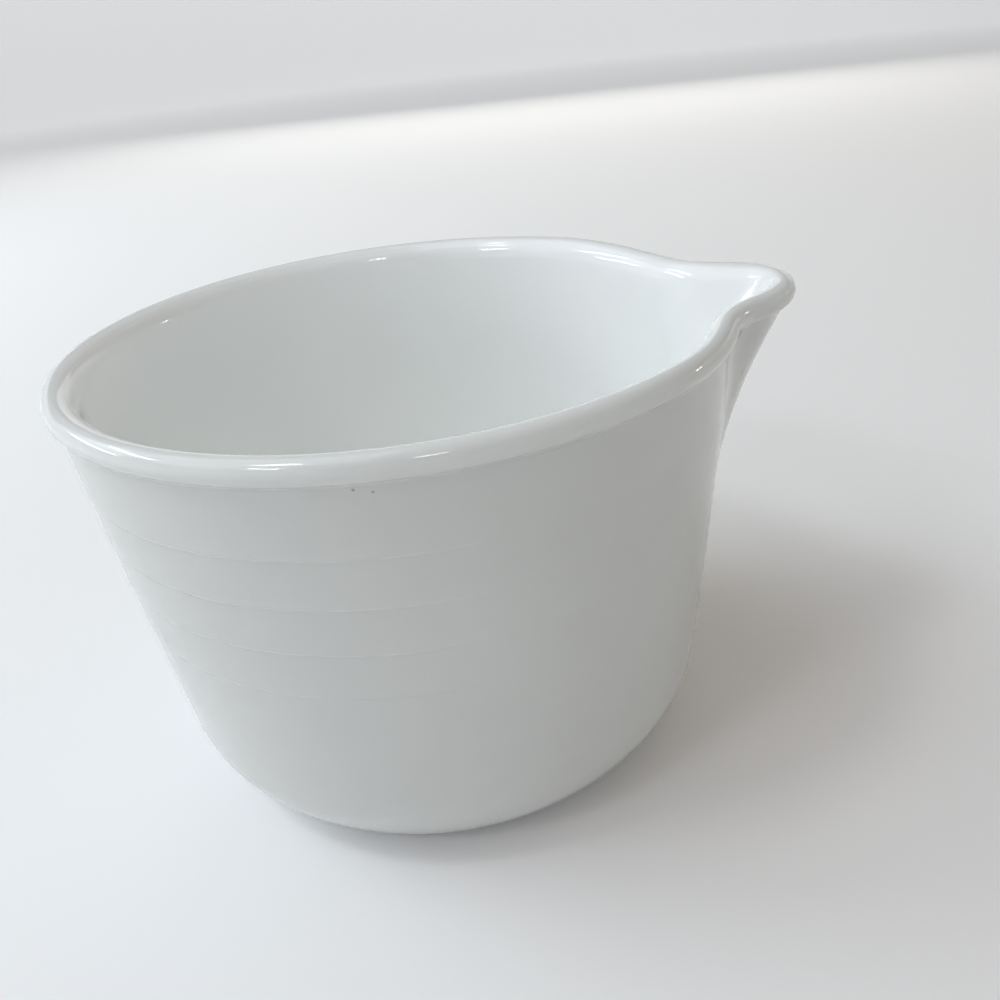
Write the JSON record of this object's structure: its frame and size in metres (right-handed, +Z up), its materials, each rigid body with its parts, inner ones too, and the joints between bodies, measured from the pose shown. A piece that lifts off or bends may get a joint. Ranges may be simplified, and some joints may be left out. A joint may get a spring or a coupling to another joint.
{
  "type": "batter bowl",
  "caption": "Round opal-glass batter bowl with a beaded rim, faint stepped bands in the wall and a pouring spout, for mixing and pouring.",
  "frame": {"origin": "centre of the flat foot ring that the bowl stands on, on the axis of its wall", "axes": "+Z up along the axis of the wall; +X from the axis towards the tip of the spout"},
  "size_m": [0.1802, 0.165, 0.114],
  "materials": {
    "milk_glass": "gloss"
  },
  "bodies": {
    "root": {"glass_bowl": "milk_glass"}
  },
  "joints": []
}
